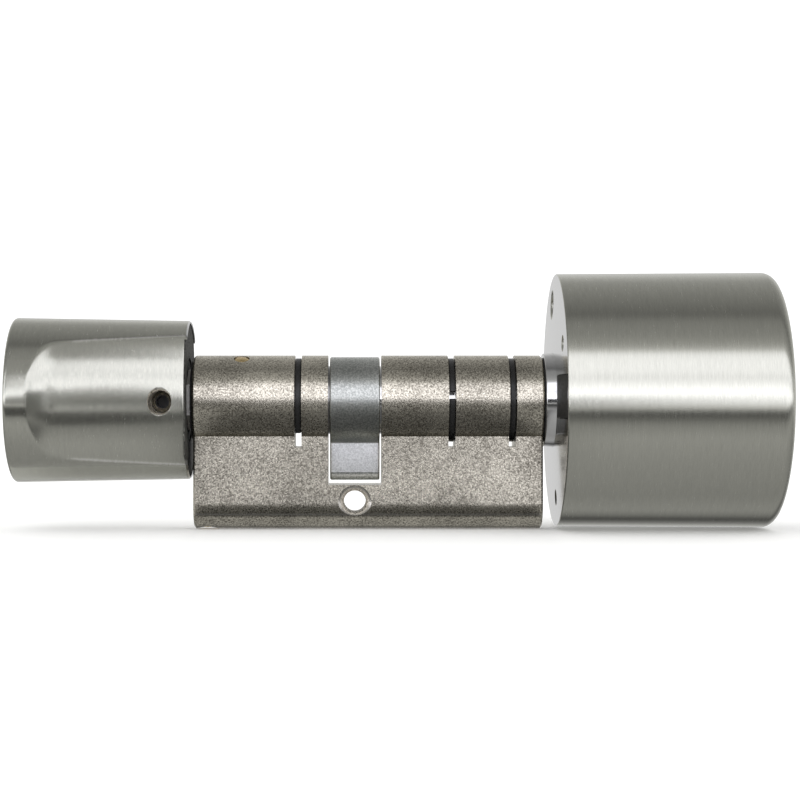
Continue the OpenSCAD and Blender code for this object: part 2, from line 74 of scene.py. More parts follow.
def middle_z(node):
    """Height of a CAD node's middle over the axis."""
    low, high = cad_box(node)
    return (low.z + high.z) / 2


# ---- sizes, in mm ----------------------------------------------------------------------

# How far a cutter reaches past the surface that it cuts.
PAST = 1

# The thread of the fixing screw and of the grub screw.
THREAD_CORE = 2.1
THREAD_CREST = 2.42
THREAD_PITCH = 0.8

# Body: a round barrel over a flat flange with a rounded lower edge. Its clip slots go down to CLIP_SLOT_Z.
BODY_X0 = cad_box("cylinder_body")[0].x
BODY_X1 = cad_box("cylinder_body")[1].x
BARREL_R = 8.5
FLANGE_HALF = 5.0
FLANGE_Z = -24.5
BORE_R = 6.5
BUSH_R = 7.2
CLIP_SLOT_HALF = 0.65
CLIP_SLOT_Z = -8.9
SCREW_Z = -AXIS_Z / MM
CHAMBER_X = middle_x("chamber_plug")
DOWEL_X = middle_x("bush_dowel")
DOWEL_ANGLE = math.radians(67.5)

# Reader knob: FACE_X is the rim of its near face, a shallow cone that rises to the collar. The aerial's
# window has its middle AERIAL_RISE above the axis, and reaches from the collar almost to the rim.
FACE_RISE = 0.5
FACE_X = cad_box("knob_shell")[0].x + FACE_RISE
FACE_R = 24.0
FACE_HOLE_CIRCLE = 18.8
SMALL_HOLE_ANGLES = [math.radians(a) for a in (33.5, 157, 280.5)]
BIG_HOLE_ANGLE = math.radians(101.5)
COLLAR_R = 9.0
HUB_R = 7.8
AERIAL_RISE = 0.65
AERIAL_HALF = 4.0
AERIAL_REACH = 23.3
AERIAL_DEPTH = 1.8

# Thumb knob: a cone with a round recess at the front and at the back, each about an axis of its own.
THUMB_NEAR_R = 15.1
THUMB_FAR_R = 15.67
THUMB_EDGE = 0.7
NEAR_CHAMFER = 0.3
RECESS_OFFSET = 15.1
RECESS_R = 27.0
RECESS_SLOPE = math.radians(3.3)
RECESS_STRAIGHT = 23.9
RECESS_RUN_R = 8.0
RECESS_CREASE = 0.25


# ---- mesh helpers ----------------------------------------------------------------------

def add_object(name, verts, faces):
    """A mesh object from points in mm about the axis."""
    mesh = bpy.data.meshes.new(name)
    mesh.from_pydata([(x * MM, y * MM, z * MM + AXIS_Z) for x, y, z in verts], [], faces)
    bm = bmesh.new()
    bm.from_mesh(mesh)
    bmesh.ops.recalc_face_normals(bm, faces=bm.faces)
    bm.to_mesh(mesh)
    bm.free()
    piece = bpy.data.objects.new(name, mesh)
    bpy.context.scene.collection.objects.link(piece)
    return piece


def at_angle(x, radius, angle):
    """The point at a radius and an angle about the axis, from the front upwards."""
    return (x, -radius * math.cos(angle), radius * math.sin(angle))


def loft(name, rings, closed_ends=True, closed_loop=False):
    """A skin through rings of equally many points. closed_loop joins the last ring to the first."""
    count = len(rings[0])
    verts = [point for ring in rings for point in ring]
    spans = len(rings) if closed_loop else len(rings) - 1
    faces = []
    for i in range(spans):
        this = i * count
        after = ((i + 1) % len(rings)) * count
        for j in range(count):
            k = (j + 1) % count
            faces.append((this + j, this + k, after + k, after + j))
    if closed_ends and not closed_loop:
        faces.append(tuple(range(count)))
        faces.append(tuple(range(len(verts) - count, len(verts))))
    return add_object(name, verts, faces)


def rounded(corners, steps=5):
    """An outline of (x, r, rounding) corners with each corner turned into an arc."""
    out = []
    count = len(corners)
    for i, (x, r, size) in enumerate(corners):
        here = Vector((x, r))
        before = Vector(corners[i - 1][:2]) - here
        after = Vector(corners[(i + 1) % count][:2]) - here
        if size <= 0:
            out.append((x, r))
            continue
        half = before.angle(after) / 2
        reach = size / math.tan(half)
        start = here + before.normalized() * reach
        end = here + after.normalized() * reach
        centre = here + (before.normalized() + after.normalized()).normalized() * size / math.sin(half)
        first = math.atan2(start.y - centre.y, start.x - centre.x)
        last = math.atan2(end.y - centre.y, end.x - centre.x)
        turn = (last - first + math.pi) % (2 * math.pi) - math.pi
        for s in range(steps + 1):
            a = first + turn * s / steps
            out.append((centre.x + size * math.cos(a), centre.y + size * math.sin(a)))
    return out


def lathe(name, outline, segments=192):
    """A closed outline of (x, r) turned about the axis. Where r is 0 the skin closes to a point."""
    rings = []
    for x, r in outline:
        r = max(r, 0.0)
        rings.append([at_angle(x, r, 2 * math.pi * j / segments) for j in range(segments)])
    on_axis = min(r for _, r in outline) <= 0
    piece = loft(name, rings, closed_ends=False, closed_loop=not on_axis)
    bm = bmesh.new()
    bm.from_mesh(piece.data)
    bmesh.ops.remove_doubles(bm, verts=bm.verts, dist=1e-7)
    bmesh.ops.recalc_face_normals(bm, faces=bm.faces)
    bm.to_mesh(piece.data)
    bm.free()
    return piece


def rod(name, start, end, radii, segments=64):
    """A round bar along any line. radii is a list of (share of the length, radius)."""
    line = Vector(end) - Vector(start)
    side = line.orthogonal().normalized()
    other = line.normalized().cross(side)
    rings = []
    for share, radius in radii:
        centre = Vector(start) + line * share
        rings.append([tuple(centre + radius * (math.cos(a) * side + math.sin(a) * other))
                      for a in (2 * math.pi * j / segments for j in range(segments))])
    return loft(name, rings)


def box(name, low, high):
    """A block between two corners."""
    corners = [(x, y, z) for x in (low[0], high[0]) for y in (low[1], high[1]) for z in (low[2], high[2])]
    faces = [(0, 1, 3, 2), (4, 6, 7, 5), (0, 4, 5, 1), (2, 3, 7, 6), (0, 2, 6, 4), (1, 5, 7, 3)]
    return add_object(name, corners, faces)


def bar(name, x0, x1, radius, z=0.0, segments=160):
    """A plain round bar along the axis, or below it."""
    return rod(name, (x0, 0, z), (x1, 0, z), [(0, radius), (1, radius)], segments)


def turn_about_axis(piece, angle):
    """Turns a piece about the cylinder axis, from the front upwards."""
    lift = Matrix.Translation((0, 0, AXIS_Z))
    piece.data.transform(lift @ Matrix.Rotation(-angle, 4, "X") @ lift.inverted())
    return piece


def settle(piece):
    """Puts the result of a piece's modifiers into its mesh."""
    graph = bpy.context.evaluated_depsgraph_get()
    done = bpy.data.meshes.new_from_object(piece.evaluated_get(graph), depsgraph=graph)
    piece.modifiers.clear()
    piece.data = done


def cut(piece, cutters):
    """Takes each cutter's solid out of the piece."""
    for cutter in cutters:
        step = piece.modifiers.new("cut", "BOOLEAN")
        step.operation = "DIFFERENCE"
        step.solver = "EXACT"
        step.object = cutter
        settle(piece)
        bpy.data.objects.remove(cutter)
    return piece


def soften(piece, width=0.12, segments=2, angle=32):
    """Small roundings on all sharp edges, and smooth shading between them."""
    for face in piece.data.polygons:
        face.use_smooth = True
    if width > 0:
        bevel = piece.modifiers.new("edges", "BEVEL")
        bevel.width = width * MM
        bevel.segments = segments
        bevel.limit_method = "ANGLE"
        bevel.angle_limit = math.radians(angle)
        bevel.miter_outer = "MITER_ARC"
        bevel.use_clamp_overlap = True
    weight = piece.modifiers.new("normals", "WEIGHTED_NORMAL")
    weight.keep_sharp = True
    weight.weight = 60
    return piece


def give_materials(piece, *names):
    """Gives a piece its materials. Its faces have the first one until they are painted."""
    for name in names:
        piece.data.materials.append(MATERIALS[name])


def paint(piece, name, chosen):
    """Gives one of the piece's materials to the faces that chosen(centre in mm, normal) picks."""
    slot = piece.data.materials.find(MATERIALS[name].name)
    for face in piece.data.polygons:
        centre = Vector((face.center.x, face.center.y, face.center.z - AXIS_Z)) / MM
        if chosen(centre, face.normal):
            face.material_index = slot


def place(piece, node, body, slot):
    """Rides the piece on its body and lets it stand for its CAD node."""
    if not piece.data.materials:
        give_materials(piece, slot)
    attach(piece, body)
    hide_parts(node)


# ---- materials -------------------------------------------------------------------------

def new_material(name, colour, metallic, roughness):
    """A plain material, its node tree and its shader."""
    material = bpy.data.materials.new(name)
    material.use_nodes = True
    shader = material.node_tree.nodes["Principled BSDF"]
    shader.inputs["Base Color"].default_value = (*colour, 1)
    shader.inputs["Metallic"].default_value = metallic
    shader.inputs["Roughness"].default_value = roughness
    return material, material.node_tree, shader


def add_node(tree, kind, **values):
    """Adds a shader node. Values are input sockets by name, or settings of the node."""
    node = tree.nodes.new(kind)
    for key, value in values.items():
        if hasattr(node, key):
            setattr(node, key, value)
        else:
            node.inputs[key.replace("_", " ")].default_value = value
    return node


def maths(tree, operation, a, b=0.0):
    """A sum, product or the like of numbers and sockets."""
    node = add_node(tree, "ShaderNodeMath", operation=operation)
    for socket, value in zip(node.inputs, (a, b)):
        if isinstance(value, (int, float)):
            socket.default_value = value
        else:
            tree.links.new(value, socket)
    return node.outputs[0]


def mixed(tree, main, other, share):
    """Two noises added up. share is how much of the main one there is."""
    return maths(tree, "ADD", maths(tree, "MULTIPLY", main, share), maths(tree, "MULTIPLY", other, 1 - share))


def noise(tree, vector, scale, detail=3.0, rough=0.55):
    """A noise around one half."""
    node = add_node(tree, "ShaderNodeTexNoise", Scale=scale, Detail=detail, Roughness=rough)
    tree.links.new(vector, node.inputs["Vector"])
    return node.outputs["Fac"]


def spread(tree, value, low, high, from_low=0.3, from_high=0.7):
    """Maps a noise value to a range."""
    node = add_node(tree, "ShaderNodeMapRange")
    for key, number in (("From Min", from_low), ("From Max", from_high), ("To Min", low), ("To Max", high)):
        node.inputs[key].default_value = number
    tree.links.new(value, node.inputs["Value"])
    return node.outputs[0]


def tint(tree, value, dark, light, reach=0.2):
    """A colour between two, by a value that lies within a reach of one half."""
    node = add_node(tree, "ShaderNodeValToRGB")
    node.color_ramp.elements[0].position = 0.5 - reach
    node.color_ramp.elements[1].position = 0.5 + reach
    node.color_ramp.elements[0].color = (*dark, 1)
    node.color_ramp.elements[1].color = (*light, 1)
    tree.links.new(value, node.inputs["Fac"])
    return node.outputs["Color"]


def bump(tree, shader, height, strength, distance_mm):
    """Lets a noise stand out of the surface by a distance."""
    node = add_node(tree, "ShaderNodeBump", Strength=strength, Distance=distance_mm * MM)
    tree.links.new(height, node.inputs["Height"])
    tree.links.new(node.outputs["Normal"], shader.inputs["Normal"])


def object_point(tree):
    """The shaded point, which moves with its piece."""
    return add_node(tree, "ShaderNodeTexCoord").outputs["Object"]


def round_point(tree, across, around, on_end):
    """The shaded point as (place across the turning marks, angle about the axis), each times a scale.

    Across the marks is along the axis, or outwards from it on an end face.
    """
    split = add_node(tree, "ShaderNodeSeparateXYZ")
    tree.links.new(object_point(tree), split.inputs[0])
    height = maths(tree, "SUBTRACT", split.outputs["Z"], AXIS_Z)
    angle = maths(tree, "ARCTAN2", height, split.outputs["Y"])
    place_across = split.outputs["X"]
    if on_end:
        squares = [maths(tree, "POWER", value, 2) for value in (height, split.outputs["Y"])]
        place_across = maths(tree, "SQRT", maths(tree, "ADD", *squares))
    join = add_node(tree, "ShaderNodeCombineXYZ")
    tree.links.new(maths(tree, "MULTIPLY", place_across, across), join.inputs[0])
    tree.links.new(maths(tree, "MULTIPLY", angle, around), join.inputs[1])
    return join.outputs[0]


def brushed_round(name, shade, roughness=0.25, on_end=False, highlight_rim=None):
    """Steel brushed around the axis, so that its highlights smear along the axis.

    Its last argument names a mesh attribute that is 1 along edges where a highlight is painted in a lighter
    colour.
    """
    fine_across, fine_around, broad_across, broad_around = 9000, 12, 1300, 3
    fine_share, highlight_lift = 0.7, 0.5
    darker, lighter, smoother, rougher = 0.88, 1.1, 0.9, 1.12
    material, tree, shader = new_material(name, shade, 1.0, roughness)
    fine = noise(tree, round_point(tree, fine_across, fine_around, on_end), 1.0, 4, 0.6)
    broad = noise(tree, round_point(tree, broad_across, broad_around, on_end), 1.0, 3)
    lines = mixed(tree, fine, broad, fine_share)
    dark = tuple(c * darker for c in shade)
    light = tuple(min(1, c * lighter) for c in shade)
    brightness = lines
    if highlight_rim:
        mark = add_node(tree, "ShaderNodeAttribute", attribute_name=highlight_rim).outputs["Fac"]
        brightness = maths(tree, "ADD", lines, maths(tree, "MULTIPLY", mark, highlight_lift))
    colour = tint(tree, brightness, dark, light)
    if highlight_rim:
        # Along the marked edges the colour runs up to a near white: a painted highlight.
        colour.node.color_ramp.elements.new(1.0).color = RIM_HIGHLIGHT_SHADE
    tree.links.new(colour, shader.inputs["Base Color"])
    tree.links.new(spread(tree, lines, roughness * smoother, roughness * rougher), shader.inputs["Roughness"])
    shader.inputs["Anisotropic"].default_value = 0.85
    shader.inputs["Anisotropic Rotation"].default_value = 0.25
    tangent = add_node(tree, "ShaderNodeTangent", direction_type="RADIAL", axis="X")
    tree.links.new(tangent.outputs[0], shader.inputs["Tangent"])
    bump(tree, shader, fine, strength=0.25, distance_mm=0.004)
    return material


def polished(name, shade, roughness):
    """Turned and polished steel, with the faintest turning marks."""
    mark_scale, darker, smoother, rougher = 700, 0.97, 0.92, 1.1
    material, tree, shader = new_material(name, shade, 1.0, roughness)
    marks = noise(tree, object_point(tree), mark_scale, 3)
    tree.links.new(spread(tree, marks, roughness * smoother, roughness * rougher), shader.inputs["Roughness"])
    dark = tuple(c * darker for c in shade)
    tree.links.new(tint(tree, marks, dark, shade), shader.inputs["Base Color"])
    return material


def grained(name, dark, light, roughness, grain, metallic=1.0, depth_mm=0.01, reach=0.2, gloss=0.5):
    """Blasted, sintered or moulded: an even grain of a given frequency per metre, over a broader one."""
    fine_share, broader = 0.75, 30
    smoother, rougher = 0.85, 1.15
    material, tree, shader = new_material(name, light, metallic, roughness)
    shader.inputs["Specular IOR Level"].default_value = gloss
    point = object_point(tree)
    fine = noise(tree, point, grain, 3, 0.6)
    broad = noise(tree, point, grain / broader, 3)
    grains = mixed(tree, fine, broad, fine_share)
    tree.links.new(tint(tree, grains, dark, light, reach), shader.inputs["Base Color"])
    dulled = spread(tree, grains, roughness * rougher, roughness * smoother)
    tree.links.new(dulled, shader.inputs["Roughness"])
    bump(tree, shader, fine, 1.0, depth_mm)
    return material


KNOB_SHADE = (0.60, 0.60, 0.53)
# The near white of the painted highlight along the thumb knob's recess edges.
RIM_HIGHLIGHT_SHADE = (1.0, 0.99, 0.93, 1)
MATERIALS = {
    "rim_highlight_steel": brushed_round("brushed_thumb_steel_rim_highlight", KNOB_SHADE, highlight_rim="recess_rim_highlight"),
    "knob_steel": brushed_round("brushed_knob_steel", KNOB_SHADE),
    "turned_end": brushed_round("turned_knob_end", KNOB_SHADE, roughness=0.3, on_end=True),
    "polished_steel": polished("polished_steel", (0.76, 0.76, 0.75), roughness=0.12),
    "machined": polished("machined_nickel", (0.80, 0.77, 0.70), roughness=0.26),
    "nickel": grained("blasted_nickel", (0.25, 0.23, 0.19), (0.90, 0.85, 0.72),
                      roughness=0.27, grain=3300, depth_mm=0.02, reach=0.11),
    "sintered_steel": grained("sintered_cam", (0.36, 0.375, 0.355), (0.66, 0.675, 0.64),
                              roughness=0.32, grain=3300, depth_mm=0.02, reach=0.1),
    # A lighter copy of the cam's sintered steel: a painted highlight on the flat sides of the nose.
    "cam_nose_highlight": grained("cam_nose_painted_highlight", (0.7, 0.71, 0.7), (0.99, 1.0, 0.99),
                             roughness=0.46, grain=3800, reach=0.1),
    "black_clip": grained("blackened_spring_steel", (0.012, 0.012, 0.012), (0.03, 0.03, 0.03),
                          roughness=0.35, grain=2500, metallic=0.3),
    "bronze": grained("sintered_bronze", (0.36, 0.26, 0.13), (0.5, 0.38, 0.2), roughness=0.4, grain=3000),
    "brass": grained("turned_brass", (0.6, 0.44, 0.2), (0.92, 0.72, 0.4),
                     roughness=0.22, grain=2500, depth_mm=0.02, reach=0.12),
    "spring_steel": grained("spring_steel", (0.45, 0.45, 0.45), (0.62, 0.62, 0.62),
                            roughness=0.25, grain=2500),
    "hard_steel": grained("ground_steel", (0.4, 0.4, 0.4), (0.55, 0.55, 0.55), roughness=0.3, grain=2500),
    "black_steel": grained("blackened_steel", (0.02, 0.02, 0.02), (0.05, 0.05, 0.05),
                           roughness=0.35, grain=2500, metallic=0.6),
    # Near black and dull: painted shade for the thumb knob's hollow and its washer.
    "hollow_shade": grained("hollow_painted_shade", (0.01, 0.01, 0.01), (0.1, 0.1, 0.09),
                            roughness=0.6, grain=2600, metallic=0.0, depth_mm=0.02, reach=0.1, gloss=0.05),
    "bright_zinc": grained("plated_nut", (0.85, 0.83, 0.77), (1.0, 0.98, 0.93), roughness=0.45, grain=2500),
    "rubber": grained("seal_rubber", (0.012, 0.012, 0.012), (0.028, 0.028, 0.028),
                      roughness=0.6, grain=2200, metallic=0.0, gloss=0.15),
    "black_plastic": grained("moulded_black", (0.01, 0.01, 0.009), (0.036, 0.036, 0.033),
                             roughness=0.6, grain=2600, metallic=0.0, depth_mm=0.015, reach=0.15, gloss=0.1),
    "light_guide": grained("frosted_light_guide", (0.7, 0.75, 0.8), (0.85, 0.88, 0.92),
                           roughness=0.4, grain=1500, metallic=0.0),
    "battery_can": grained("drawn_can", (0.5, 0.5, 0.5), (0.64, 0.64, 0.64), roughness=0.3, grain=1500),
    "circuit_board": grained("solder_resist", (0.015, 0.09, 0.03), (0.03, 0.16, 0.06),
                             roughness=0.35, grain=1500, metallic=0.0),
    "copper": grained("enamelled_wire", (0.42, 0.17, 0.07), (0.62, 0.3, 0.14), roughness=0.3, grain=2500),
}

# CAD nodes that don't have the look of their material slot. The washer in the thumb knob's hollow is painted
# near black: painted shade of the hollow.
NODE_LOOKS = {"knob_washer": "hollow_shade", "shaft_nut": "bright_zinc"}


# ---- housing ---------------------------------------------------------------------------

def profile(inset):
    """The euro profile as (y, z) points, drawn in by an inset."""
    radius = BARREL_R - inset
    half = FLANGE_HALF - inset
    join_z = -math.sqrt(radius ** 2 - half ** 2)
    join_angle = math.atan2(join_z, half)
    barrel_steps, bottom_steps = 120, 40
    points = []
    for s in range(barrel_steps + 1):
        a = join_angle + (math.pi - 2 * join_angle) * s / barrel_steps
        points.append((radius * math.cos(a), radius * math.sin(a)))
    for s in range(bottom_steps + 1):
        a = math.pi + math.pi * s / bottom_steps
        points.append((half * math.cos(a), FLANGE_Z + FLANGE_HALF + half * math.sin(a)))
    return points


def cross_hole(name, x, z):
    """Cutter for the threaded fixing hole: thread rings between two countersinks."""
    half, sink, over = FLANGE_HALF, 1.0, 0.5
    mouth_r = THREAD_CORE + sink + over
    length = 2 * (half + over)
    radii = [(-half - over, mouth_r), (-half + sink, THREAD_CORE)]
    turns = int((2 * (half - sink)) / THREAD_PITCH)
    for i in range(turns):
        y = -half + sink + (i + 0.25) * THREAD_PITCH
        radii += [(y, THREAD_CORE), (y + 0.3 * THREAD_PITCH, THREAD_CREST),
                  (y + 0.45 * THREAD_PITCH, THREAD_CREST), (y + 0.74 * THREAD_PITCH, THREAD_CORE)]
    radii += [(half - sink, THREAD_CORE), (half + over, mouth_r)]
    shares = [((y + half + over) / length, r) for y, r in radii]
    return rod(name, (x, -half - over, z), (x, half + over, z), shares, 96)


def make_body():
    """The profile, and what is cut into it: bores, cam cut-out, screw hole, slots and pin holes."""
    chamfer = 0.35
    rings = []
    for x, inset in ((BODY_X0, chamfer), (BODY_X0 + chamfer, 0), (BODY_X1 - chamfer, 0), (BODY_X1, chamfer)):
        rings.append([(x, y, z) for y, z in profile(inset)])
    body = loft("profile_body", rings)
    reach = BARREL_R + PAST
    cam_gap, cam_gap_below = 0.35, 0.8
    chamber_r, dowel_r, pin_r, countersink_r = 2.1, 1.5, 1.5, 3.3
    cam_low, cam_high = cad_box("locking_cam")
    bush_end = cad_box("left_bush")[1].x
    bush_start = cad_box("right_bush")[0].x
    pins_low, pins_high = cad_box("anti_drill_pins")
    cutters = [
        bar("bore", BODY_X0 - PAST, BODY_X1 + PAST, BORE_R),
        bar("bore_left", BODY_X0 - PAST, bush_end, BUSH_R),
        bar("bore_right", bush_start, BODY_X1 + PAST, BUSH_R),
        box("cutout", (cam_low.x - cam_gap, -reach, cam_low.z - cam_gap_below),
            (cam_high.x + cam_gap, reach, reach)),
        cross_hole("screw_hole", 0, SCREW_Z),
        rod("chamber", (CHAMBER_X, 0, FLANGE_Z - PAST), (CHAMBER_X, 0, -BORE_R),
            [(0, chamber_r), (1, chamber_r)]),
        rod("dowel_hole", at_angle(DOWEL_X, BORE_R, DOWEL_ANGLE),
            at_angle(DOWEL_X, BARREL_R + PAST, DOWEL_ANGLE), [(0, dowel_r), (1, dowel_r)], 48),
    ]
    for clip in ("left_retaining_clip", "right_inner_clip", "right_outer_clip"):
        slot_x = middle_x(clip)
        cutters.append(box("slot", (slot_x - CLIP_SLOT_HALF, -reach, CLIP_SLOT_Z),
                           (slot_x + CLIP_SLOT_HALF, reach, reach)))
    for z in (pins_low.z + pin_r, pins_high.z - pin_r):
        cutters.append(bar("pin_hole", pins_low.x, BODY_X1 + PAST, pin_r, z, 48))
    cut(body, cutters)
    give_materials(body, "nickel", "machined")
    paint(body, "machined", lambda centre, normal: math.hypot(centre.x, centre.z - SCREW_Z) < countersink_r
          and abs(normal.y) < 0.95)
    soften(body, 0.1)
    place(body, "cylinder_body", "housing", "nickel")


def make_clip(name, node, gap_half_angle, gap_angle):
    """An open ring of flat section, its gap at an angle about the axis."""
    low, high = cad_box(node)
    inner, outer, steps = 5.75, 7.95, 120
    rings = []
    for s in range(steps + 1):
        a = gap_angle + gap_half_angle + (2 * math.pi - 2 * gap_half_angle) * s / steps
        rings.append([at_angle(low.x, inner, a), at_angle(low.x, outer, a), at_angle(high.x, outer, a),
                      at_angle(high.x, inner, a)])
    clip = soften(loft(name, rings), 0.12)
    place(clip, node, "housing", "black_clip")


def make_dowel():
    """Brass dowel, its end turned flush with the barrel and slightly crowned."""
    shape = [(0, 1.38), (0.84, 1.38), (0.92, 1.3), (0.93, 1.05), (0.985, 0.9), (0.99, 0.3), (1.0, 0.1)]
    dowel = rod("brass_dowel", at_angle(DOWEL_X, BORE_R + 0.1, DOWEL_ANGLE),
                at_angle(DOWEL_X, BARREL_R, DOWEL_ANGLE), shape, 48)
    soften(dowel, 0)
    place(dowel, "bush_dowel", "housing", "brass")


# ---- cam -------------------------------------------------------------------------------

def cam_outline():
    """The cam as (y, z) points: a round hub, and a nose with a chamfered tip."""
    low, high = cad_box("locking_cam")
    hub, tip_z = high.z, low.z
    nose_half, tip_rise, tip_in = 2.0, 1.5, 0.9
    start = math.asin(nose_half / hub)
    points = []
    steps = 120
    for s in range(steps + 1):
        a = -math.pi / 2 + start + (2 * math.pi - 2 * start) * s / steps
        points.append((hub * math.cos(a), hub * math.sin(a)))
    points += [(-nose_half, tip_z + tip_rise), (-nose_half + tip_in, tip_z), (nose_half - tip_in, tip_z)]
    points.append((nose_half, tip_z + tip_rise))
    return points


def make_cam():
    """The cam, with a painted highlight on the flat sides of its nose: a lighter copy of the cam's steel."""
    low, high = cad_box("locking_cam")
    outline = cam_outline()
    cam = loft("locking_cam_piece", [[(x, y, z) for y, z in outline] for x in (low.x, high.x)])
    cut(cam, [bar("cam_bore", low.x - PAST, high.x + PAST, BORE_R)])
    give_materials(cam, "sintered_steel", "cam_nose_highlight")
    # The nose's flat sides get the lighter copy: a painted highlight.
    paint(cam, "cam_nose_highlight", lambda centre, normal: abs(normal.y) > 0.99 and centre.z < -high.z)
    soften(cam, 0.3, 3)
    place(cam, "locking_cam", "cam", "sintered_steel")


# ---- thumb knob ------------------------------------------------------------------------

def thumb_cone(x, near, far):
    """Radius of the knob's turned outside, with its rounded far edge and chamfered near edge."""
    share = (near - x) / (near - far)
    radius = THUMB_NEAR_R + (THUMB_FAR_R - THUMB_NEAR_R) * share
    beyond = far + THUMB_EDGE - x
    if beyond > 0:
        radius -= THUMB_EDGE - math.sqrt(max(THUMB_EDGE ** 2 - beyond ** 2, 0))
    return min(radius, THUMB_NEAR_R - NEAR_CHAMFER + near - x)


def recess_floor(x, near):
    """Radius of a recess's floor about its own axis: a slight cone that runs out in an arc."""
    bend_x = near - RECESS_STRAIGHT
    bend_r = RECESS_R + RECESS_STRAIGHT * math.tan(RECESS_SLOPE)
    if x >= bend_x:
        return RECESS_R + (near - x) * math.tan(RECESS_SLOPE)
    centre_x = bend_x + RECESS_RUN_R * math.sin(RECESS_SLOPE)
    centre_r = bend_r + RECESS_RUN_R * math.cos(RECESS_SLOPE)
    away = centre_x - x
    clear_of_knob = 60.0
    if away >= RECESS_RUN_R * 0.99:
        return clear_of_knob
    return centre_r - math.sqrt(RECESS_RUN_R ** 2 - away ** 2)


def recess_radius(x, angle, near):
    """Radius of the recess's floor about the cylinder axis, at an angle about it."""
    height = RECESS_OFFSET * math.sin(angle)
    across = RECESS_OFFSET * abs(math.cos(angle))
    return math.sqrt(recess_floor(x, near) ** 2 - height ** 2) - across


def smooth_min(a, b, size):
    """The smaller of two, with the crease between them rounded."""
    closeness = max(size - abs(a - b), 0) / size
    return min(a, b) - closeness * closeness * size / 4


def thumb_radius(x, angle, near, far):
    """Radius of the knob's outside at a place along it and an angle about the axis."""
    return smooth_min(thumb_cone(x, near, far), recess_radius(x, angle, near), RECESS_CREASE)


def mark_rim_highlight(knob, near, far):
    """Marks the long edges of the recesses, where the knob's steel gets a painted highlight."""
    half_width, run_in, skin = 0.17, 4.0, 0.3
    marks = knob.data.attributes.new("recess_rim_highlight", "FLOAT", "POINT")
    for vertex, mark in zip(knob.data.vertices, marks.data):
        x, y, z = vertex.co.x / MM, vertex.co.y / MM, (vertex.co.z - AXIS_Z) / MM
        cone = thumb_cone(x, near, far)
        if math.hypot(y, z) > cone - skin:
            gap = (cone - recess_radius(x, math.atan2(z, -y), near)) / half_width
            fade = min(max((x - near + RECESS_STRAIGHT) / run_in, 0), 1)
            mark.value = math.exp(-gap * gap) * fade


def grub_cutter(x, y_mouth, z):
    """Threaded bore of the grub screw, its mouth rubbed wider up and down by the brushing."""
    inner_end, first_turn, turns, segments = -3.5, -3.6, 9, 64
    stations = [(inner_end, THREAD_CORE, THREAD_CORE)]
    for i in range(turns):
        y = first_turn - i * THREAD_PITCH
        stations += [(y - 0.1, THREAD_CORE, THREAD_CORE), (y - 0.35, THREAD_CREST, THREAD_CREST),
                     (y - 0.45, THREAD_CREST, THREAD_CREST), (y - 0.7, THREAD_CORE, THREAD_CORE)]
    for inwards, wider, taller in ((0.6, 0, 0), (0.25, 0.05, 0.3), (0.05, 0.14, 0.6), (-1.2, 0.6, 1.4)):
        stations.append((y_mouth + inwards, THREAD_CORE + wider, THREAD_CORE + taller))
    stations.sort(key=lambda station: -station[0])
    rings = []
    for y, wide, tall in stations:
        rings.append([(x + wide * math.cos(a), y, z + tall * math.sin(a))
                      for a in (2 * math.pi * j / segments for j in range(segments))])
    return loft("grub_bore", rings)


def make_thumb_knob():
    """The knob with its recesses, its hollow near face round a spigot, and the grub screw's bore."""
    low, high = cad_box("thumb_knob")
    near, far = high.x, low.x
    pitch, segments, edge_steps = 0.27, 360, 5
    spigot_r, hollow_r, hollow_depth, bore_depth, flare = 4.4, 14.6, 0.55, 16, 0.15
    count_x = int((near - far - 1.0) / pitch)
    last = near - hollow_depth
    edge_turn = math.pi / 2 / edge_steps
    stations = [far + THUMB_EDGE * (1 - math.cos(edge_turn * i)) for i in range(edge_steps)]
    stations += [far + THUMB_EDGE + (last - far - THUMB_EDGE) * i / count_x for i in range(count_x + 1)]
    stations += [near - NEAR_CHAMFER, near]
    rings = []
    for x in stations:
        rings.append([at_angle(x, thumb_radius(x, a, near, far), a)
                      for a in (2 * math.pi * j / segments for j in range(segments))])
    knob = loft("thumb_knob_piece", rings)
    hollow = [(far + bore_depth, 0, 0), (far + bore_depth, spigot_r, 0), (last, spigot_r, 0),
              (last, hollow_r, 0.15), (near - flare, hollow_r, 0), (near + PAST, hollow_r + PAST, 0),
              (near + PAST, 0, 0)]
    grub_x = middle_x("knob_grub_screw")
    grub_z = middle_z("knob_grub_screw")
    mouth = -thumb_radius(grub_x, 0, near, far)
    cut(knob, [lathe("near_hollow", rounded(hollow)), grub_cutter(grub_x, mouth, grub_z)])
    # The recess edges get a painted highlight through this mark.
    mark_rim_highlight(knob, near, far)
    give_materials(knob, "rim_highlight_steel", "hollow_shade", "machined", "polished_steel", "turned_end")
    paint(knob, "turned_end", lambda centre, normal: normal.x < -0.95 and centre.x < far + 0.1)
    paint(knob, "polished_steel", lambda centre, normal: centre.x > near - NEAR_CHAMFER and normal.x > 0.5)
    # The hollow's floor and inner wall are painted near black: painted shade inside the hollow.
    paint(knob, "hollow_shade", lambda centre, normal: centre.x > last - 0.05
          and math.hypot(centre.y, centre.z) < hollow_r + 0.05)
    bore_reach = 3
    paint(knob, "machined", lambda centre, normal: centre.y < -bore_reach
          and math.hypot(centre.x - grub_x, centre.z - grub_z) < bore_reach and abs(normal.y) < 0.9)
    soften(knob, 0.06, 2, 40)
    place(knob, "thumb_knob", "thumb_turn", "knob_steel")


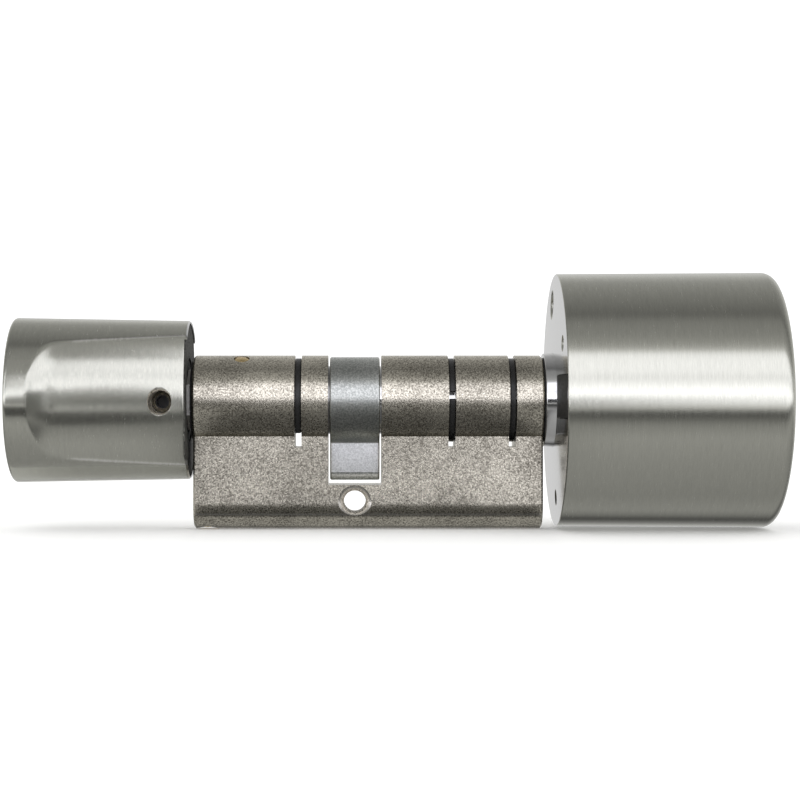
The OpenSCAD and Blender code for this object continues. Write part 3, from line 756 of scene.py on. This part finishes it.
def make_grub_screw():
    """A hexagon socket screw, with bright thread ridges at its outer end."""
    low, high = cad_box("knob_grub_screw")
    x, z = middle_x("knob_grub_screw"), middle_z("knob_grub_screw")
    length = high.y - low.y
    rim, socket_r, socket_share, bright_share = 1.3, 1.15, 0.55, 0.35
    shape = [(0, 1.3), (0.12, 1.95), (0.7, 2.05), (0.78, 1.8), (0.83, 1.9), (0.91, 1.5), (0.94, 1.6),
             (1.0, rim)]
    screw = rod("grub_screw", (x, high.y, z), (x, low.y, z), shape)
    socket = rod("socket", (x, low.y - PAST, z), (x, low.y + length * socket_share, z),
                 [(0, socket_r), (1, socket_r)], 6)
    cut(screw, [socket])
    give_materials(screw, "black_steel", "machined")
    paint(screw, "machined", lambda centre, normal: centre.y < low.y + length * bright_share
          and math.hypot(centre.x - x, centre.z - z) > rim)
    soften(screw, 0.03)
    place(screw, "knob_grub_screw", "thumb_turn", "black_steel")


# ---- reader knob -----------------------------------------------------------------------

def face_x(radius):
    """Place of the coned near face along the axis, at a radius."""
    share = (FACE_R - radius) / (FACE_R - COLLAR_R)
    return FACE_X - FACE_RISE * share


def aerial_prism(name, proud, side_gap):
    """The insert's shape: its top lies in the coned face, lifted by proud."""
    low_z = AERIAL_RISE - AERIAL_HALF - side_gap
    high_z = AERIAL_RISE + AERIAL_HALF + side_gap
    reach = AERIAL_REACH + side_gap
    top = [(face_x(COLLAR_R) - proud, -COLLAR_R), (face_x(AERIAL_REACH) - proud, -reach),
           (FACE_X + AERIAL_DEPTH, -reach), (FACE_X + AERIAL_DEPTH, -COLLAR_R)]
    return loft(name, [[(x, y, z) for x, y in top] for z in (low_z, high_z)])


def make_shell():
    """A cup whose near face has three stepped screw holes, a tool hole and the window's slot."""
    near = FACE_X
    far = cad_box("knob_shell")[1].x
    wall, cavity_r, far_r, far_edge = 3, 21.6, 24.25, 2.2
    cavity = near + wall
    outline = rounded([
        (near, HUB_R, 0), (near, COLLAR_R, 0), (face_x(COLLAR_R), COLLAR_R, 0), (near, FACE_R, 0.3),
        (far, far_r, far_edge), (far, cavity_r, 0.15), (cavity, cavity_r, 0.4), (cavity, HUB_R, 0)], 8)
    shell = lathe("reader_knob_shell", outline, 256)
    hole_start = (near - PAST, -FACE_HOLE_CIRCLE, 0)
    hole_end = (cavity + PAST, -FACE_HOLE_CIRCLE, 0)
    cutters = []
    for angle in SMALL_HOLE_ANGLES:
        hole = rod("small_hole", hole_start, hole_end,
                   [(0, 2.47), (0.23, 1.22), (0.55, 1.22), (0.56, 0.85), (1, 0.85)], 48)
        cutters.append(turn_about_axis(hole, angle))
    big = rod("big_hole", hole_start, hole_end, [(0, 3.75), (0.26, 2.45), (1, 2.45)])
    cutters.append(turn_about_axis(big, BIG_HOLE_ANGLE))
    cutters.append(aerial_prism("aerial_slot", proud=PAST, side_gap=0.1))
    cut(shell, cutters)
    give_materials(shell, "knob_steel", "polished_steel")
    paint(shell, "polished_steel", lambda centre, normal: centre.x < near + 0.02 and normal.x < -0.9)
    soften(shell, 0.06)
    place(shell, "knob_shell", "reader_knob", "knob_steel")


def make_collar():
    """The collar with a groove for its seal, and the hub behind the face."""
    low, high = cad_box("knob_collar")
    bore_r, groove_in, groove_out, groove_depth = 6.46, 6.8, 8.0, 0.9
    outline = rounded([
        (low.x, bore_r, 0), (low.x, groove_in, 0), (low.x + groove_depth, groove_in, 0),
        (low.x + groove_depth, groove_out, 0), (low.x, groove_out, 0), (low.x, COLLAR_R - 0.15, 0.2),
        (FACE_X, COLLAR_R, 0), (FACE_X, HUB_R, 0), (high.x, HUB_R, 0.2), (high.x, bore_r, 0)])
    collar = soften(lathe("polished_collar", outline), 0)
    collar.data.set_sharp_from_angle(angle=math.radians(30))
    place(collar, "knob_collar", "reader_knob", "polished_steel")


def make_aerial_insert():
    """The black window, flush with the near face and a little smaller than its slot."""
    block = soften(aerial_prism("aerial_block", proud=0.0, side_gap=-0.04), 0.04, 2)
    place(block, "aerial_insert", "reader_knob", "black_plastic")


def make_cap():
    """The end cap: a slightly domed face with a groove for the light ring, and a groove for the seal."""
    low, high = cad_box("reader_cap")
    rim_r, seal_r, seal_half = 21.45, 20.35, 0.7
    ring_in, ring_out, ring_depth = 9.2, 10.4, 1.4
    edge = high.x - 0.9
    seal_x = low.x + 1.3
    outer_dome = [(high.x - 0.12 - 0.38 * (r / 21.0) ** 2, r) for r in (20.6, 19, 17, 15, 13, 11.5)]
    inner_dome = [(high.x - 0.14 * (r / 9.0) ** 2, r) for r in (8.6, 7, 5, 3, 1.5, 0)]
    outline = [(low.x, 0), (low.x, 21.2), (low.x + 0.2, rim_r), (seal_x - seal_half, rim_r),
               (seal_x - seal_half, seal_r), (seal_x + seal_half, seal_r), (seal_x + seal_half, rim_r),
               (edge, rim_r), (edge + 0.3, 21.2)]
    outline += outer_dome
    outline += [(high.x - 0.2, ring_out + 0.1), (high.x - 0.3, ring_out), (high.x - ring_depth, ring_out),
                (high.x - ring_depth, ring_in), (high.x - 0.25, ring_in), (high.x - 0.16, ring_in - 0.1)]
    outline += inner_dome
    cap = soften(lathe("reader_cap_piece", outline), 0)
    cap.data.set_sharp_from_angle(angle=math.radians(30))
    place(cap, "reader_cap", "reader_knob", "black_plastic")


# ---- stage -----------------------------------------------------------------------------

# Light level by height in degrees: 0 is level at the front, 90 overhead, 180 level behind.
SKY = [
    (-180, 0.68), (-165, 0.65), (-150, 0.3), (-137, 0.05), (-128, 0.26), (-118, 0.38), (-96, 0.32),
    (-60, 0.38), (-34, 0.45), (-22, 0.34), (-15, 0.1), (-12, 0.02), (-9, 0.1), (-7, 1.0), (-3, 1.6),
    (6, 2.1), (10, 1.9), (15, 1.5), (21, 1.2), (24, 1.5), (42, 1.5), (45, 0.6), (50, 0.42), (60, 0.3),
    (74, 0.26), (83, 0.13), (92, 0.18), (117, 0.3), (134, 0.38), (155, 0.65), (180, 0.68),
]
# The sky's colours are shares of SKY_TOP, because a colour ramp holds none above one.
SKY_TOP = 2.4
SOFT_BOX_BLUE = 1.08
WHITE_LEVEL = 1.2

FLOOR_Z = FLANGE_Z - 0.05
STRIP_Z = FLANGE_Z - 0.04


def make_floor():
    """A pale floor just under the flange. Reflections don't see it."""
    z = FLOOR_Z
    size = 1500
    floor = add_object("floor", [(-size, -size, z), (size, -size, z), (size, size, z), (-size, size, z)],
                       [(0, 1, 2, 3)])
    material, _, shader = new_material("pale_floor", (0.9, 0.9, 0.89), 0.0, 0.8)
    shader.inputs["Emission Color"].default_value = (1, 1, 1, 1)
    shader.inputs["Emission Strength"].default_value = 0.15
    floor.data.materials.append(material)
    floor.visible_glossy = False


def sky_colour(level):
    """Grey of a level as a share of the top level, slightly blue where it is a soft box."""
    blue = level * SOFT_BOX_BLUE if level > 1 else level
    return (level / SKY_TOP, level / SKY_TOP, blue / SKY_TOP, 1)


def make_world():
    """White all round as light, and soft boxes with dark gaps by height for reflections."""
    world = bpy.data.worlds.new("studio")
    bpy.context.scene.world = world
    world.use_nodes = True
    tree = world.node_tree
    tree.nodes.clear()
    coords = add_node(tree, "ShaderNodeTexCoord").outputs["Generated"]
    split = add_node(tree, "ShaderNodeSeparateXYZ")
    tree.links.new(coords, split.inputs[0])
    front = maths(tree, "MULTIPLY", split.outputs["Y"], -1)
    angle = maths(tree, "ARCTAN2", split.outputs["Z"], front)
    share = maths(tree, "ADD", maths(tree, "DIVIDE", angle, 2 * math.pi), 0.5)
    ramp = add_node(tree, "ShaderNodeValToRGB")
    stops = ramp.color_ramp.elements
    stops.remove(stops[-1])
    stops[0].color = sky_colour(SKY[0][1])
    for degrees, level in SKY[1:]:
        stops.new(degrees / 360 + 0.5).color = sky_colour(level)
    tree.links.new(share, ramp.inputs["Fac"])
    sky = add_node(tree, "ShaderNodeBackground", Strength=SKY_TOP)
    tree.links.new(ramp.outputs["Color"], sky.inputs["Color"])
    white = add_node(tree, "ShaderNodeBackground", Color=(1, 1, 1, 1), Strength=WHITE_LEVEL)
    path = add_node(tree, "ShaderNodeLightPath")
    mix = add_node(tree, "ShaderNodeMixShader")
    tree.links.new(path.outputs["Is Glossy Ray"], mix.inputs[0])
    tree.links.new(white.outputs[0], mix.inputs[1])
    tree.links.new(sky.outputs[0], mix.inputs[2])
    out = add_node(tree, "ShaderNodeOutputWorld")
    tree.links.new(mix.outputs[0], out.inputs["Surface"])


def make_card(name, corners, level):
    """A grey card that only reflections see."""
    card = add_object(name, corners, [tuple(range(len(corners)))])
    card.data.materials.append(new_material(name + "_paper", (level, level, level), 0.0, 0.9)[0])
    card.visible_camera = False
    card.visible_diffuse = False
    card.visible_shadow = False


def upright(y, outline):
    """Corners of an upright card at a depth, from (x, z) points."""
    return [(x, y, z) for x, z in outline]


def flat(z, low, high):
    """Corners of a level card at a height, from its lowest and highest (x, y)."""
    return [(low[0], low[1], z), (high[0], low[1], z), (high[0], high[1], z), (low[0], high[1], z)]


def make_cards():
    """The camera's hood, a dark strip that is a painted shadow of the table under the body, seen only in
    reflections, a pale strip on the table, and cards that shape the thumb knob's highlight.
    """
    hood_y, card_y, side_x = -385, -62, -34
    make_card("camera_hood", upright(hood_y, [(-80, -45), (80, -45), (80, 18), (-80, 18)]), 0.01)
    # A painted shadow of the table under the body, for reflections.
    make_card("floor_shadow_strip", flat(STRIP_Z, (BODY_X0, -60), (BODY_X1, -5.5)), 0.11)
    make_card("pale_strip", flat(STRIP_Z, (-72, -5), (-32, 14)), 0.6)
    make_card("upper_card", upright(card_y, [(-95, -8), (-60, 36), (-30, 43), (-30, 85), (-95, 85)]), 0.28)
    make_card("level_card", upright(card_y, [(-95, -7), (-38, -2), (-38, 15), (-95, -4)]), 0.25)
    make_card("side_card", [(side_x, card_y, -7), (side_x, -18, -7), (side_x, -18, 3), (side_x, card_y, 8)],
              0.15)
    make_card("low_card", upright(card_y, [(-95, -23), (-38, -22), (-38, -13), (-95, -14)]), 0.06)


def make_camera():
    """Level with the axis and square to it. Its shift brings in all of the reader knob."""
    distance, aside = 379, -0.29
    data = bpy.data.cameras.new("camera")
    data.sensor_width = 36
    data.lens = 89.3
    data.shift_x = 0.0584
    camera = bpy.data.objects.new("camera", data)
    camera.location = (aside * MM, -distance * MM, AXIS_Z)
    camera.rotation_euler = (math.pi / 2, 0, 0)
    bpy.context.scene.collection.objects.link(camera)
    bpy.context.scene.camera = camera


# ---- all of it -------------------------------------------------------------------------

for row in frame["record"]["subparts"]:
    node_mesh = NODES[row["node"]].data
    node_mesh.materials.clear()
    node_mesh.materials.append(MATERIALS[NODE_LOOKS.get(row["node"], row["material_slot"])])

make_body()
make_clip("left_clip", "left_retaining_clip", math.radians(37.5), math.radians(270))
make_clip("right_inner_clip_piece", "right_inner_clip", math.radians(4.7), math.radians(6.7))
make_clip("right_outer_clip_piece", "right_outer_clip", math.radians(4.7), math.radians(180))
make_dowel()
make_cam()
make_thumb_knob()
make_grub_screw()
make_shell()
make_collar()
make_aerial_insert()
make_cap()
make_floor()
make_world()
make_cards()
make_camera()
bpy.context.scene.view_settings.view_transform = "Standard"
